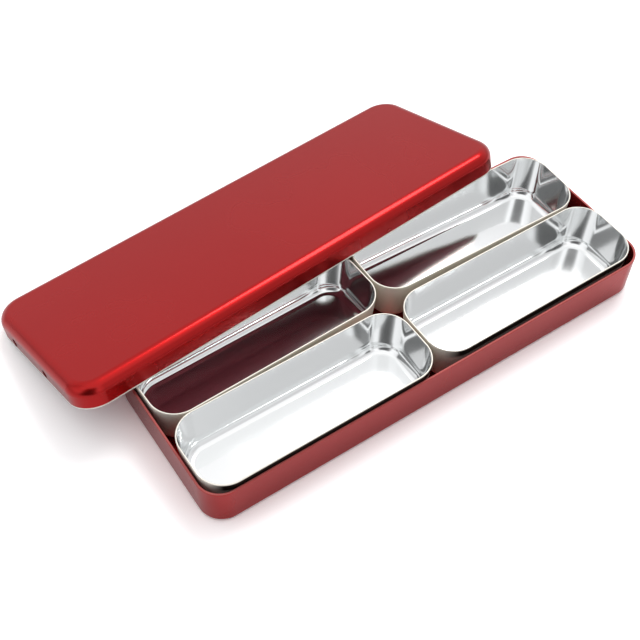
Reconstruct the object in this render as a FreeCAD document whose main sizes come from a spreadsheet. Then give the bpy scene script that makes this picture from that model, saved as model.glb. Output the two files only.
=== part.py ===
import FreeCAD, Part
import Sketcher
import math
import os

# Endodontic file box: a drawn aluminium tray that holds four loose compartment inserts,
# and a shallow telescoping lid. The lid is off: it leans over the back of the tray, its
# rear edge on the table and its front corner on the rims of the back inserts.
# Row frame: origin at the middle of the tray's underside, X along the tray, Z up.

os.makedirs("parts", exist_ok=True)
doc = FreeCAD.newDocument("endodontic_file_box")

# Driving dimensions, in millimetres
DIMENSIONS = [
    ("tray_length", 180.0, "outside length of the tray"),
    ("tray_width", 65.0, "outside width of the tray"),
    ("tray_height", 16.8, "table to tray rim"),
    ("tray_corner", 8.6, "outside corner radius of the tray"),
    ("tray_foot_radius", 2.0, "outside radius where the tray wall meets its floor"),
    ("box_sheet", 0.8, "sheet thickness of tray and lid"),
    ("lid_play", 0.55, "gap between the closed lid's skirt and the tray wall, all round"),
    ("lid_height", 8.8, "skirt edge to the lid's top"),
    ("lid_edge_radius", 4.0, "outside radius where the lid's top meets its skirt"),
    ("vent_diameter", 3.0, "steam vents through the lid's ends"),
    ("vent_height", 2.4, "vent centre above the skirt edge"),
    ("vent_spacing", 23.8, "distance between the two vents of an end"),
    ("vent_offset", 5.0, "middle of the vent pair, off the lid's centre line"),
    ("insert_rise", 2.3, "insert rims above the tray rim"),
    ("insert_corner_ease", 2.2, "insert's rim corner radius, over the tray's inside corner"),
    ("insert_sheet", 0.5, "sheet thickness of an insert"),
    ("insert_draft", 1.2, "how far each insert wall leans in from rim to floor"),
    ("insert_floor_radius", 4.0, "outside radius where an insert's wall meets its floor"),
    ("insert_end_gap", 0.65, "insert to the tray's end wall"),
    ("insert_middle_gap", 0.9, "between the left and the right inserts"),
    ("insert_side_play", 3.6, "all the room across the tray that a pair of inserts leaves"),
    ("insert_wall_gap", 0.3, "insert to the tray's long wall"),
    ("front_left_wall_gap", 0.15, "the same for the front left insert, slid to the wall"),
    ("front_right_wall_gap", 1.1, "the same for the front right insert"),
    ("back_left_wall_gap", 1.25, "the same for the insert that lies furthest askew"),
    ("back_left_skew", 2.64, "how much further back its right end lies than its left"),
    ("back_right_skew", -1.7, "the same for the back right insert"),
    ("rim_break", 0.15, "chamfer on the trimmed rims of tray and lid"),
    ("lid_overlap", 14.65, "how far the lid, laid flat, would reach in over the tray"),
    ("lid_shift", -22.5, "middle of the lid's rear edge, along the tray"),
    ("lid_turn", 4.8, "degrees that the lid lies turned, seen from above"),
    ("lid_table_gap", 0.2, "lid's rear edge above the table"),
    ("lid_rest_gap", 0.15, "lid's skirt above the insert rims"),
]
sheet = doc.addObject("Spreadsheet::Sheet", "Sizes")
for row, (alias, value, meaning) in enumerate(DIMENSIONS, start=1):
    sheet.set(f"A{row}", meaning)
    sheet.set(f"B{row}", str(value))
    sheet.setAlias(f"B{row}", alias)
doc.recompute()


def size(alias):
    return float(sheet.get(alias))


# Sizes that follow from the driving ones, for the sketches and features
TRAY_INSIDE_LENGTH = "(Sizes.tray_length - 2 * Sizes.box_sheet)"
TRAY_INSIDE_WIDTH = "(Sizes.tray_width - 2 * Sizes.box_sheet)"
LID_GROWTH = "2 * (Sizes.box_sheet + Sizes.lid_play)"
INSERT_LENGTH = f"(({TRAY_INSIDE_LENGTH} - 2 * Sizes.insert_end_gap - Sizes.insert_middle_gap) / 2)"
INSERT_WIDTH = f"(({TRAY_INSIDE_WIDTH} - Sizes.insert_side_play) / 2)"
INSERT_HEIGHT = "(Sizes.tray_height - Sizes.box_sheet + Sizes.insert_rise)"
INSERT_CORNER = "(Sizes.tray_corner - Sizes.box_sheet + Sizes.insert_corner_ease)"

# The same sizes as numbers, for the places of the pieces
tray_inside_width = size("tray_width") - 2 * size("box_sheet")
tray_inside_length = size("tray_length") - 2 * size("box_sheet")
lid_growth = 2 * (size("box_sheet") + size("lid_play"))
lid_length = size("tray_length") + lid_growth
lid_width = size("tray_width") + lid_growth
insert_length = (tray_inside_length - 2 * size("insert_end_gap") - size("insert_middle_gap")) / 2
insert_width = (tray_inside_width - size("insert_side_play")) / 2
insert_height = size("tray_height") - size("box_sheet") + size("insert_rise")
insert_corner = size("tray_corner") - size("box_sheet") + size("insert_corner_ease")
insert_rim = size("box_sheet") + insert_height

# How a sketch's constraints number the points of a line or arc, and the sketch's own axes
POINT = {"start": 1, "end": 2, "centre": 3}
AXIS = {"x": -1, "y": -2}

# How close two heights count as one
TOUCH = 1e-4


def origin_plane(body, role):
    """One of the body's own origin planes, found by its role."""
    return next(item for item in body.Origin.OriginFeatures if item.Role == role)


def attached_sketch(body, name, role):
    sketch = body.newObject("Sketcher::SketchObject", name)
    sketch.AttachmentSupport = [(origin_plane(body, role), "")]
    sketch.MapMode = "FlatFace"
    return sketch


def rounded_outline(body, name, length, width, corner):
    """A rectangle with round corners, centred on the sketch's origin. The three sizes are
    expressions on the sheet, and the numbers it is first drawn with are only a start."""
    sketch = attached_sketch(body, name, "XY_Plane")
    half_x, half_y, radius = 50.0, 20.0, 6.0
    straight_x, straight_y = half_x - radius, half_y - radius
    corners = [
        (straight_x, -straight_y, -90),
        (straight_x, straight_y, 0),
        (-straight_x, straight_y, 90),
        (-straight_x, -straight_y, 180),
    ]
    sides = [
        ((-straight_x, -half_y), (straight_x, -half_y)),
        ((half_x, -straight_y), (half_x, straight_y)),
        ((straight_x, half_y), (-straight_x, half_y)),
        ((-half_x, straight_y), (-half_x, -straight_y)),
    ]
    lines, arcs = [], []
    for (start, end), (centre_x, centre_y, first) in zip(sides, corners):
        line = Part.LineSegment(FreeCAD.Vector(*start, 0), FreeCAD.Vector(*end, 0))
        circle = Part.Circle(FreeCAD.Vector(centre_x, centre_y, 0), FreeCAD.Vector(0, 0, 1), radius)
        arc = Part.ArcOfCircle(circle, math.radians(first), math.radians(first + 90))
        lines.append(sketch.addGeometry(line))
        arcs.append(sketch.addGeometry(arc))
    front, right, rear, left = lines
    rules = [
        ("Symmetric", front, POINT["start"], front, POINT["end"], AXIS["y"]),
        ("Symmetric", right, POINT["start"], right, POINT["end"], AXIS["x"]),
        ("Horizontal", rear),
        ("Vertical", left),
    ]
    for line, arc, following in zip(lines, arcs, lines[1:] + lines[:1]):
        rules.append(("Tangent", line, POINT["end"], arc, POINT["start"]))
        rules.append(("Tangent", arc, POINT["end"], following, POINT["start"]))
    for arc in arcs[1:]:
        rules.append(("Equal", arcs[0], arc))
    for rule in rules:
        sketch.addConstraint(Sketcher.Constraint(*rule))
    named = [
        ("length", ("DistanceX", left, POINT["start"], right, POINT["start"], 2 * half_x)),
        ("width", ("DistanceY", front, POINT["start"], rear, POINT["start"], 2 * half_y)),
        ("corner", ("Radius", arcs[0], radius)),
    ]
    for (label, rule), value in zip(named, (length, width, corner)):
        number = sketch.addConstraint(Sketcher.Constraint(*rule))
        sketch.renameConstraint(number, label)
        sketch.setExpression(f"Constraints.{label}", value)
    return sketch


def faces_at(feature, height):
    """Names of the feature's flat faces that lie at one height."""
    return [
        f"Face{number}"
        for number, face in enumerate(feature.Shape.Faces, start=1)
        if abs(face.BoundBox.ZMin - height) < TOUCH and abs(face.BoundBox.ZMax - height) < TOUCH
    ]


def edges_at(feature, height):
    """Names of the feature's edges that lie at one height."""
    return [
        f"Edge{number}"
        for number, edge in enumerate(feature.Shape.Edges, start=1)
        if abs(edge.BoundBox.ZMin - height) < TOUCH and abs(edge.BoundBox.ZMax - height) < TOUCH
    ]


def padded(body, name, sketch, height):
    pad = body.newObject("PartDesign::Pad", name)
    pad.Profile = sketch
    pad.setExpression("Length", height)
    doc.recompute()
    return pad


def rounded_edges(body, name, base, height, radius):
    fillet = body.newObject("PartDesign::Fillet", name)
    fillet.Base = (base, edges_at(base, height))
    fillet.setExpression("Radius", radius)
    doc.recompute()
    return fillet


def hollowed(body, name, base, open_height, thickness):
    """The solid turned into sheet of one thickness, open at the face at open_height."""
    shell = body.newObject("PartDesign::Thickness", name)
    shell.Base = (base, faces_at(base, open_height))
    shell.Reversed = True
    shell.Join = "Arc"
    shell.setExpression("Value", thickness)
    doc.recompute()
    return shell


def chamfered(body, name, base, edges, leg):
    chamfer = body.newObject("PartDesign::Chamfer", name)
    chamfer.Base = (base, edges)
    chamfer.setExpression("Size", leg)
    doc.recompute()
    return chamfer


def flatted_foot(body, name, base, radius):
    """The radius round a foot as three flats that touch its arc at 22.5, 45 and 67.5
    degrees: a chamfer, and then both edges of that chamfer once more."""
    middle = chamfered(body, f"{name}_middle", base, edges_at(base, 0), f"(2 - sqrt(2)) * {radius}")
    tops = [edge.BoundBox.ZMax for edge in middle.Shape.Edges if edge.BoundBox.ZLength < TOUCH]
    flat_top = min(top for top in tops if top > TOUCH)
    edges = edges_at(middle, 0) + edges_at(middle, flat_top)
    return chamfered(body, name, middle, edges, f"(tan(22.5 deg) - tan(11.25 deg)) * {radius}")


# Base tray: one deep-drawn piece with upright walls and a small foot radius. Its foot and
# those of the inserts are flatted, which keeps the surfaces of these five cups light.
tray = doc.addObject("PartDesign::Body", "base_tray")
outline = rounded_outline(
    tray, "tray_outline", "Sizes.tray_length", "Sizes.tray_width", "Sizes.tray_corner"
)
block = padded(tray, "tray_block", outline, "Sizes.tray_height")
block = flatted_foot(tray, "tray_foot", block, "Sizes.tray_foot_radius")
shell = hollowed(tray, "tray_shell", block, size("tray_height"), "Sizes.box_sheet")
chamfered(tray, "tray_rim", shell, edges_at(shell, size("tray_height")), "Sizes.rim_break")

# Lid: the tray's outline grown by its own sheet and the play, drawn shallow, with a
# generous top radius and two vents through each end. It is drawn with its skirt edge at
# zero height and its top upwards.
lid = doc.addObject("PartDesign::Body", "lid")
outline = rounded_outline(
    lid,
    "lid_outline",
    f"Sizes.tray_length + {LID_GROWTH}",
    f"Sizes.tray_width + {LID_GROWTH}",
    f"Sizes.tray_corner + {LID_GROWTH} / 2",
)
block = padded(lid, "lid_block", outline, "Sizes.lid_height")
block = rounded_edges(lid, "lid_top_edge", block, size("lid_height"), "Sizes.lid_edge_radius")
shell = hollowed(lid, "lid_shell", block, 0, "Sizes.box_sheet")
rim = chamfered(lid, "lid_rim", shell, edges_at(shell, 0), "Sizes.rim_break")
vents = attached_sketch(lid, "lid_vents", "YZ_Plane")
origin = (AXIS["x"], POINT["start"])
for label, side in (("front", -1), ("rear", 1)):
    across = size("vent_offset") + side * size("vent_spacing") / 2
    centre = FreeCAD.Vector(across, size("vent_height"), 0)
    vent = Part.Circle(centre, FreeCAD.Vector(0, 0, 1), size("vent_diameter") / 2)
    circle = vents.addGeometry(vent)
    named = [
        (
            f"{label}_across",
            ("DistanceX", *origin, circle, POINT["centre"], across),
            f"Sizes.vent_offset + {side} * Sizes.vent_spacing / 2",
        ),
        (
            f"{label}_up",
            ("DistanceY", *origin, circle, POINT["centre"], centre.y),
            "Sizes.vent_height",
        ),
        (f"{label}_diameter", ("Diameter", circle, 2 * vent.Radius), "Sizes.vent_diameter"),
    ]
    for name, rule, value in named:
        number = vents.addConstraint(Sketcher.Constraint(*rule))
        vents.renameConstraint(number, name)
        vents.setExpression(f"Constraints.{name}", value)
drilled = lid.newObject("PartDesign::Pocket", "lid_vent_holes")
drilled.Profile = vents
drilled.Type = "ThroughAll"
drilled.Midplane = True
doc.recompute()
vent_metal = 4 * math.pi * (size("vent_diameter") / 2) ** 2 * size("box_sheet")
removed = rim.Shape.Volume - drilled.Shape.Volume
assert abs(removed - vent_metal) < 0.02 * vent_metal, "the vents don't pass through both ends"

# The lid's lean: it turns about its rear edge on the table until its skirt clears the rim
# of the back right insert, where the lid's right end passes over it.
lid_turn = math.radians(size("lid_turn"))
rear_x = size("lid_shift")
rear_y = size("tray_width") / 2 + lid_width - size("lid_overlap")
rim_y = tray_inside_width / 2 - size("insert_wall_gap")
run = (rear_y + lid_length / 2 * math.sin(lid_turn) - rim_y) / math.cos(lid_turn)
rise = insert_rim + size("lid_rest_gap") - size("lid_table_gap")
lid_tilt = math.atan2(rise, run)
turned = FreeCAD.Rotation(FreeCAD.Vector(0, 0, 1), math.degrees(lid_turn))
tilted = FreeCAD.Rotation(FreeCAD.Vector(1, 0, 0), -math.degrees(lid_tilt))
lean = turned.multiply(tilted)
rear_edge = FreeCAD.Vector(0, lid_width / 2, 0)
lid.Placement = FreeCAD.Placement(
    FreeCAD.Vector(rear_x, rear_y, size("lid_table_gap")) - lean.multVec(rear_edge), lean
)

# Inserts: four equal drawn cups with leaning walls, loose in the tray. The front two lie
# square, the left one against the tray's front wall, and the back two a little askew.
INSERTS = [
    ("insert_front_left", -1, -1, size("front_left_wall_gap"), 0),
    ("insert_front_right", 1, -1, size("front_right_wall_gap"), 0),
    ("insert_back_left", -1, 1, size("back_left_wall_gap"), size("back_left_skew")),
    ("insert_back_right", 1, 1, size("insert_wall_gap"), size("back_right_skew")),
]
for name, end, row, wall_gap, skew in INSERTS:
    insert = doc.addObject("PartDesign::Body", name)
    outline = rounded_outline(
        insert,
        f"{name}_floor",
        f"{INSERT_LENGTH} - 2 * Sizes.insert_draft",
        f"{INSERT_WIDTH} - 2 * Sizes.insert_draft",
        f"{INSERT_CORNER} - Sizes.insert_draft",
    )
    block = padded(insert, f"{name}_block", outline, INSERT_HEIGHT)
    walls = [
        f"Face{number}"
        for number, face in enumerate(block.Shape.Faces, start=1)
        if face.BoundBox.ZLength > TOUCH
    ]
    flared = insert.newObject("PartDesign::Draft", f"{name}_flare")
    flared.Base = (block, walls)
    flared.NeutralPlane = (block, faces_at(block, 0))
    flared.Reversed = True
    flared.setExpression("Angle", f"atan(Sizes.insert_draft / {INSERT_HEIGHT})")
    doc.recompute()
    assert flared.Shape.Volume > block.Shape.Volume, "the insert's walls lean the wrong way"
    block = flatted_foot(insert, f"{name}_foot", flared, "Sizes.insert_floor_radius")
    hollowed(insert, f"{name}_shell", block, insert_height, "Sizes.insert_sheet")
    turn = math.asin(skew / insert_length)
    straight_x = insert_length / 2 - insert_corner
    straight_y = insert_width / 2 - insert_corner
    half_span = insert_corner + straight_y * math.cos(turn) + straight_x * abs(math.sin(turn))
    place = FreeCAD.Vector(
        end * (insert_length + size("insert_middle_gap")) / 2,
        row * (tray_inside_width / 2 - wall_gap - half_span),
        size("box_sheet"),
    )
    turned = FreeCAD.Rotation(FreeCAD.Vector(0, 0, 1), math.degrees(turn))
    insert.Placement = FreeCAD.Placement(place, turned)

doc.recompute()
failed = [item.Name for item in doc.Objects if {"Invalid", "Error"} & set(item.State)]
assert not failed, f"objects that failed: {failed}"
bodies = [item for item in doc.Objects if item.TypeId == "PartDesign::Body"]
for body in bodies:
    assert not body.Shape.isNull() and body.Shape.isValid(), f"{body.Label} has no valid shape"
for body in bodies:
    body.Shape.exportStep(f"parts/{body.Label}.step")
    print(f"{body.Label}: {body.Shape.Volume / 1000:.3f} cm3, {len(body.Shape.Faces)} faces")
print(f"lid tilt {math.degrees(lid_tilt):.2f} degrees")
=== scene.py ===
import math

import bpy
from mathutils import Matrix, Vector


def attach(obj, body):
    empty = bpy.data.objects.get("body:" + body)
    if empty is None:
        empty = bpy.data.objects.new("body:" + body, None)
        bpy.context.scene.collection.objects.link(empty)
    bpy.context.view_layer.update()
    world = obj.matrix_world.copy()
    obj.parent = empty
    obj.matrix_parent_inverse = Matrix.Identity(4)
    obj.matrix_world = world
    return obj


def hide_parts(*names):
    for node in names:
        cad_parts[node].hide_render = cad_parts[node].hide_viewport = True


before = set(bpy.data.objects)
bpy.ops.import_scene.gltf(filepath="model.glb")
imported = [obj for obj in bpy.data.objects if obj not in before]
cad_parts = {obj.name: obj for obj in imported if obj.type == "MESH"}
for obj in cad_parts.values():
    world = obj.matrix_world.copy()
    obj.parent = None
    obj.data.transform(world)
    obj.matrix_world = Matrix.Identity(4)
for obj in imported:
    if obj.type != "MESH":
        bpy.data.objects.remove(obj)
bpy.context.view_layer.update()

# The camera looks down from above the tray's front left corner, across the box to the lid,
# with a lens of about 60 mm on a 36 mm sensor.
bpy.ops.object.camera_add(
    location=(-0.15005, -0.17324, 0.30337),
    rotation=(math.radians(37.58), math.radians(-0.827), math.radians(-33.933)),
)
camera = bpy.context.object
camera.data.lens = 60.036
camera.data.sensor_width = 36
bpy.context.scene.camera = camera


# The table is a sweep of white card. The camera sees it white, with the shadow that lies
# round the box, and the metal mirrors it a little greyer than it is.
class Signal:
    """A node's output that can stand in a sum: each operator adds its own Math node."""

    def __init__(self, tree, socket=None):
        self.tree = tree
        self.socket = socket

    def node(self, kind, settings=None, sockets=None, output=0):
        made = self.tree.nodes.new(kind)
        for name, value in (settings or {}).items():
            if name == "stops":
                steps = made.color_ramp.elements
                while len(steps) < len(value):
                    steps.new(1.0)
                for step, (place, colour) in zip(steps, value):
                    step.position = place
                    step.color = colour
            else:
                setattr(made, name, value)
        for name, value in (sockets or {}).items():
            if isinstance(value, Signal):
                self.tree.links.new(value.socket, made.inputs[name])
            else:
                made.inputs[name].default_value = value
        return Signal(self.tree, made.outputs[output] if made.outputs else None)

    def maths(self, operation, *values):
        return self.node("ShaderNodeMath", {"operation": operation}, dict(enumerate(values)))

    def __add__(self, other):
        return self.maths("ADD", self, other)

    def __sub__(self, other):
        return self.maths("SUBTRACT", self, other)

    def __rsub__(self, other):
        return self.maths("SUBTRACT", other, self)

    def __mul__(self, other):
        return self.maths("MULTIPLY", self, other)

    __radd__ = __add__
    __rmul__ = __mul__

    def axis(self, letter):
        """One coordinate of this place or direction."""
        return self.node("ShaderNodeSeparateXYZ", sockets={"Vector": self}, output=letter)

    def diffuse(self, colour):
        return self.node("ShaderNodeBsdfDiffuse", sockets={"Color": colour})

    def share(self, first, second):
        """A shader between two, with this signal as the second one's share."""
        return self.node("ShaderNodeMixShader", sockets={0: self, 1: first, 2: second})

    def span(self, low, high, low_value=0.0, high_value=1.0, curve="LINEAR"):
        """This value's way from low to high, as a way from low_value to high_value."""
        ends = {"From Min": low, "From Max": high, "To Min": low_value, "To Max": high_value}
        settings = {"interpolation_type": curve}
        return self.node("ShaderNodeMapRange", settings, {"Value": self, **ends})


card = bpy.data.materials.new("white_card")
card.use_nodes = True
card.node_tree.nodes.clear()
build = Signal(card.node_tree)
seen = build.node("ShaderNodeLightPath", output="Is Camera Ray")
mirrored = build.node("ShaderNodeLightPath", output="Is Glossy Ray")
lit_card = build.diffuse((0.82, 0.82, 0.83, 1))
mirrored_card = build.diffuse((0.79, 0.79, 0.80, 1))
seen_card = build.node(
    "ShaderNodeAddShader",
    sockets={0: build.diffuse((1.0, 1.0, 1.0, 1)), 1: build.diffuse((0.4, 0.4, 0.4, 1))},
)
paper = seen.share(mirrored.share(lit_card, mirrored_card), seen_card)
build.node("ShaderNodeOutputMaterial", sockets={"Surface": paper})

bpy.ops.object.select_all(action="DESELECT")
bpy.ops.mesh.primitive_plane_add(size=6, location=(0, 0, 0))
table = bpy.context.object
table.name = "table"
table.data.materials.append(card)

# The room is a white photo tent, brightest overhead, with its dark opening on the camera's
# side. Its walls are uneven all round, and one large soft box hangs high on the far right.
tent = bpy.data.worlds.new("photo_tent")
tent.use_nodes = True
tent.node_tree.nodes.clear()
bpy.context.scene.world = tent
build = Signal(tent.node_tree)
way = build.node("ShaderNodeTexCoord", output="Generated")
rise = way.axis("Z")
glow_by_rise = [
    (0.0, (0.50, 0.51, 0.53, 1)),
    (0.2, (0.66, 0.67, 0.68, 1)),
    (0.37, (0.82, 0.82, 0.83, 1)),
    (0.7, (0.78, 0.78, 0.79, 1)),
    (0.88, (0.95, 0.95, 0.96, 1)),
    (1.0, (1.0, 1.0, 1.0, 1)),
]
glow = build.node("ShaderNodeValToRGB", {"stops": glow_by_rise}, {"Fac": rise})

# Each pair is a share of the turn from west through south, east and north, and the walls'
# brightness there, of 1.25 at most.
wall_top = 1.25
walls_by_turn = [
    (0.000, 0.96), (0.033, 0.96), (0.053, 0.36), (0.075, 0.16), (0.103, 0.10), (0.139, 0.11),
    (0.167, 0.14), (0.189, 0.29), (0.211, 0.88), (0.228, 1.00), (0.256, 0.96), (0.283, 0.72),
    (0.317, 0.62), (0.361, 0.62), (0.394, 0.62), (0.444, 0.72), (0.500, 0.80), (0.833, 0.80),
    (0.883, 0.58), (0.917, 0.76), (0.958, 0.88), (1.000, 0.96),
]
degrees = build.maths("ARCTAN2", way.axis("Y"), way.axis("X")) * 57.29578
walls = build.node(
    "ShaderNodeValToRGB",
    {"stops": [(turn, (level, level, level, 1)) for turn, level in walls_by_turn]},
    {"Fac": degrees * (1 / 360) + 0.5},
)
below_roof = rise.span(0.90, 0.78, curve="SMOOTHSTEP")
level = 1.0 - (1.0 - walls * wall_top) * below_roof
light = build.node("ShaderNodeBackground", sockets={"Color": glow, "Strength": level * 1.1})
seen = build.node("ShaderNodeLightPath", output="Is Camera Ray")
white = build.node("ShaderNodeBackground", sockets={"Color": (1, 1, 1, 1), "Strength": 1.0})
build.node("ShaderNodeOutputWorld", sockets={"Surface": seen.share(light, white)})

soft_box_turn = 32
soft_box_rise = 60
soft_box_away = 1.0
bpy.ops.object.light_add(type="AREA")
soft_box = bpy.context.object
soft_box.name = "soft_box"
soft_box.data.shape = "RECTANGLE"
soft_box.data.size = 0.46
soft_box.data.size_y = 0.39
soft_box.data.energy = 3.2
towards = Vector(
    (math.cos(math.radians(soft_box_rise)), 0, math.sin(math.radians(soft_box_rise)))
)
towards.rotate(Matrix.Rotation(math.radians(soft_box_turn), 3, "Z"))
soft_box.location = towards * soft_box_away
soft_box.rotation_euler = towards.to_track_quat("Z", "Y").to_euler()

bpy.context.scene.view_settings.view_transform = "Standard"

# Base tray: one deep-drawn cup of 0.8 mm aluminium with upright walls and a small foot
# radius, dyed red when it was anodised. Its trimmed rim is duller and a little worn.
rim_band = 0.0006
fold_steps = 18
corner_steps = 28
rim_steps = 4


def drawn_cup(name, length, width, height, corner, sheet, foot, lean, rim_break, metals):
    """A sheet cup, open side up. The rim's outline is drawn down and in, ring by ring, to
    the floor, and then the sheet's thickness is given to the inside. The metals are those
    of the outside, the inside and the rim."""
    bpy.ops.object.select_all(action="DESELECT")
    bpy.ops.mesh.primitive_plane_add(size=1, location=(0, 0, height))
    cup = bpy.context.object
    cup.name = name
    bpy.ops.transform.resize(value=(length, width, 1))
    bpy.ops.object.transform_apply(location=True, rotation=True, scale=True)
    slope = math.atan(lean / height)
    centre = lean * (1 - foot / height) + foot / math.cos(slope)
    rings = [(0.0, height), (0.0, height - rim_band)]
    for step in range(fold_steps + 1):
        angle = slope + (math.pi / 2 - slope) * step / fold_steps
        rings.append((centre - foot * math.cos(angle), foot - foot * math.sin(angle)))
    bpy.ops.object.mode_set(mode="EDIT")
    bpy.ops.mesh.select_all(action="SELECT")
    bpy.ops.mesh.bevel(
        offset=corner, segments=corner_steps, affect="VERTICES", clamp_overlap=False
    )
    bpy.ops.mesh.select_all(action="SELECT")
    for (inset_before, up_before), (inset_now, up_now) in zip(rings, rings[1:]):
        bpy.ops.mesh.inset(thickness=inset_now - inset_before, depth=up_now - up_before)
    bpy.ops.mesh.select_all(action="SELECT")
    bpy.ops.mesh.flip_normals()
    bpy.ops.object.mode_set(mode="OBJECT")
    for metal in metals:
        cup.data.materials.append(metal)
    thickness = cup.modifiers.new("thickness", "SOLIDIFY")
    thickness.thickness = sheet
    thickness.offset = -1
    thickness.use_even_offset = True
    thickness.material_offset = 1
    thickness.material_offset_rim = 2
    edges = cup.modifiers.new("edges", "BEVEL")
    edges.limit_method = "ANGLE"
    edges.angle_limit = math.radians(50)
    edges.width = rim_break
    edges.segments = rim_steps
    bpy.ops.object.modifier_apply(modifier="thickness")
    bpy.ops.object.modifier_apply(modifier="edges")
    bpy.ops.object.shade_smooth()
    return cup


def seated(piece, place, turn):
    """Puts a finished piece at its place with its mesh, and settles its smooth shading."""
    bpy.ops.object.select_all(action="DESELECT")
    piece.select_set(True)
    bpy.context.view_layer.objects.active = piece
    piece.location = place
    piece.rotation_euler = turn
    bpy.ops.object.transform_apply(location=True, rotation=True, scale=True)
    normals = piece.modifiers.new("normals", "WEIGHTED_NORMAL")
    normals.keep_sharp = True
    bpy.ops.object.modifier_apply(modifier="normals")


def new_finish(name):
    """A new material with no nodes yet, the Signal that builds them, and the place on it."""
    finish = bpy.data.materials.new(name)
    finish.use_nodes = True
    finish.node_tree.nodes.clear()
    build = Signal(finish.node_tree)
    return finish, build, build.node("ShaderNodeTexCoord", output="Object")


def cloudy(place, scale, detail):
    """Soft noise over a place, about 0.5 all over."""
    sockets = {"Vector": place, "Scale": scale, "Detail": detail}
    return place.node("ShaderNodeTexNoise", sockets=sockets, output="Fac")


def tinted(share, first, second):
    """A colour between two, by the second one's share."""
    sockets = {0: share, 6: first, 7: second}
    return share.node("ShaderNodeMix", {"data_type": "RGBA"}, sockets, output=2)


def close_finish(build, sockets):
    surface = build.node("ShaderNodeBsdfPrincipled", sockets=sockets)
    build.node("ShaderNodeOutputMaterial", sockets={"Surface": surface})


red, build, place = new_finish("red_anodised")
clouds = cloudy(place, 22.0, 3.0)
grain = cloudy(place, 2600.0, 2.0)
skin = cloudy(place, 700.0, 2.0)
relief = build.node(
    "ShaderNodeBump",
    sockets={"Height": grain * 0.6 + skin * 0.4, "Strength": 0.12, "Distance": 0.00003},
)
close_finish(
    build,
    {
        "Base Color": tinted(clouds, (0.42, 0.004, 0.004, 1), (0.48, 0.006, 0.006, 1)),
        "Metallic": 1.0,
        "Roughness": clouds * 0.06 + 0.24,
        "Coat Weight": 0.4,
        "Coat Roughness": 0.12,
        "Normal": relief,
    },
)

red_rim, build, place = new_finish("red_rim")
wear = cloudy(place, 320.0, 3.0)
close_finish(
    build,
    {
        "Base Color": tinted(wear, (0.36, 0.06, 0.055, 1), (0.46, 0.12, 0.11, 1)),
        "Metallic": 0.5,
        "Roughness": wear * 0.15 + 0.5,
    },
)

base_tray = drawn_cup(
    "tray_shell",
    length=0.180,
    width=0.065,
    height=0.0168,
    corner=0.0086,
    sheet=0.0008,
    foot=0.002,
    lean=0,
    rim_break=0.00015,
    metals=[red, red, red_rim],
)
seated(base_tray, (0, 0, 0), (0, 0, 0))
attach(base_tray, "base")
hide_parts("base_tray")

# Inserts: four equal cups drawn from 0.5 mm aluminium, bright inside and dull outside, with
# walls that lean in to the floor. They lie loose in the tray, the back two a little askew.
bright_metal, build, place = new_finish("polished_aluminium")
relief = build.node(
    "ShaderNodeBump",
    sockets={"Height": cloudy(place, 60.0, 1.0), "Strength": 0.2, "Distance": 0.0004},
)
close_finish(
    build,
    {
        "Base Color": (0.91, 0.92, 0.92, 1),
        "Metallic": 1.0,
        "Roughness": cloudy(place, 35.0, 4.0) * 0.09 + 0.06,
        "Normal": relief,
    },
)

# Painted shade: a near-black band along the outside of the front pair, close under the rim,
# stands in for the shadow in the gap between them and the tray's front wall.
dull_metal, build, place = new_finish("drawn_aluminium")
stretched = build.node(
    "ShaderNodeMapping", sockets={"Vector": place, "Scale": (900.0, 900.0, 25.0)}
)
streaks = cloudy(stretched, 1.0, 2.0)
bloom = cloudy(place, 45.0, 4.0)
# Where the painted shade lies: the front pair's front walls, from 14.5 mm up to just under
# the rim.
front = place.axis("Y").span(-0.0270, -0.0300)
upper = place.axis("Z").span(0.0145, 0.0160)
lip = place.axis("Z").span(0.01875, 0.01885, 1.0, 0.0)
painted_gap_shade = front * upper * lip
clean_tint = tinted(bloom, (0.84, 0.80, 0.70, 1), (0.94, 0.91, 0.83, 1))
relief = build.node(
    "ShaderNodeBump", sockets={"Height": streaks, "Strength": 0.3, "Distance": 0.00005}
)
close_finish(
    build,
    {
        # The near-black colour is the painted shade under the front pair's rims.
        "Base Color": tinted(painted_gap_shade, clean_tint, (0.012, 0.010, 0.008, 1)),
        "Metallic": 0.4,
        "Roughness": bloom * 0.15 + 0.34,
        "Specular IOR Level": 0.2,
        "Normal": relief,
    },
)

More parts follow.
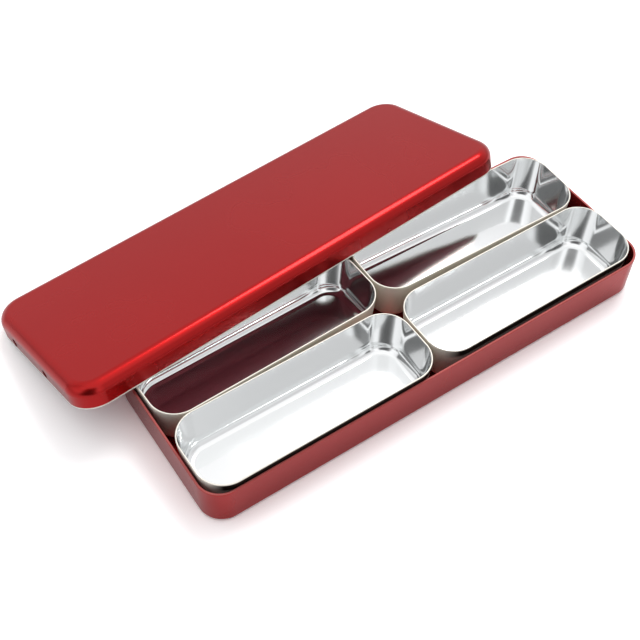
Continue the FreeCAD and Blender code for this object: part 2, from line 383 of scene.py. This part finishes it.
pattern = drawn_cup(
    "insert_pattern",
    length=0.0881,
    width=0.0299,
    height=0.0183,
    corner=0.0100,
    sheet=0.0005,
    foot=0.004,
    lean=0.0012,
    rim_break=0.0002,
    metals=[dull_metal, bright_metal, dull_metal],
)
tray_floor = 0.0008
for node, (across, back), turn in [
    ("insert_front_left", (-0.0445, -0.0166), 0.0),
    ("insert_front_right", (0.0445, -0.01565), 0.0),
    ("insert_back_left", (-0.0445, 0.014482), 1.7172),
    ("insert_back_right", (0.0445, 0.015794), -1.1057),
]:
    insert = pattern.copy()
    insert.data = pattern.data.copy()
    insert.name = node + "_shell"
    bpy.context.scene.collection.objects.link(insert)
    seated(insert, (across, back, tray_floor), (0, 0, math.radians(turn)))
    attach(insert, node)
    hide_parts(node)
bpy.data.objects.remove(pattern)

# Lid: drawn shallow from the same red sheet, with a generous radius round its top and two
# steam vents through each end. A pale band of the bare-metal finish along its trimmed edge
# is a painted highlight of that edge. Its inside is dull. It leans with its rear edge on the
# table.
inner_red, build, place = new_finish("red_anodised_inside")
clouds = cloudy(place, 30.0, 4.0)
close_finish(
    build,
    {
        "Base Color": tinted(clouds, (0.36, 0.060, 0.085, 1), (0.44, 0.075, 0.105, 1)),
        "Metallic": 0.3,
        "Roughness": clouds * 0.1 + 0.55,
    },
)

lid_width = 0.0677
lid_height = 0.0088
lid = drawn_cup(
    "lid_shell",
    length=0.1827,
    width=lid_width,
    height=lid_height,
    corner=0.00995,
    sheet=0.0008,
    foot=0.004,
    lean=0,
    rim_break=0.00025,
    metals=[red, inner_red, dull_metal],
)
lid.location = (0, 0, lid_height)
lid.rotation_euler = (math.pi, 0, 0)
bpy.ops.object.transform_apply(location=True, rotation=True, scale=True)
# The lowest 0.6 mm of the skirt, inside and out, takes the pale finish as a painted
# highlight along the edge.
for face in lid.data.polygons:
    if face.center.z < rim_band:
        face.material_index = 2
for across in (-0.0069, 0.0169):
    bpy.ops.object.select_all(action="DESELECT")
    bpy.ops.mesh.primitive_cylinder_add(
        vertices=32,
        radius=0.0015,
        depth=0.2,
        location=(0, across, 0.0024),
        rotation=(0, math.pi / 2, 0),
    )
    drill = bpy.context.object
    bpy.context.view_layer.objects.active = lid
    hole = lid.modifiers.new("vent", "BOOLEAN")
    hole.object = drill
    hole.solver = "EXACT"
    bpy.ops.object.modifier_apply(modifier="vent")
    bpy.data.objects.remove(drill)
lid.location = (0, -lid_width / 2, 0)
bpy.ops.object.select_all(action="DESELECT")
lid.select_set(True)
bpy.context.view_layer.objects.active = lid
bpy.ops.object.transform_apply(location=True, rotation=True, scale=True)
askew = Matrix.Rotation(math.radians(4.8), 3, "Z")
tilt = Matrix.Rotation(math.radians(-17.0772), 3, "X")
seated(lid, (-0.0225, 0.08555, 0.0002), (askew @ tilt).to_euler())
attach(lid, "lid")
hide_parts("lid")
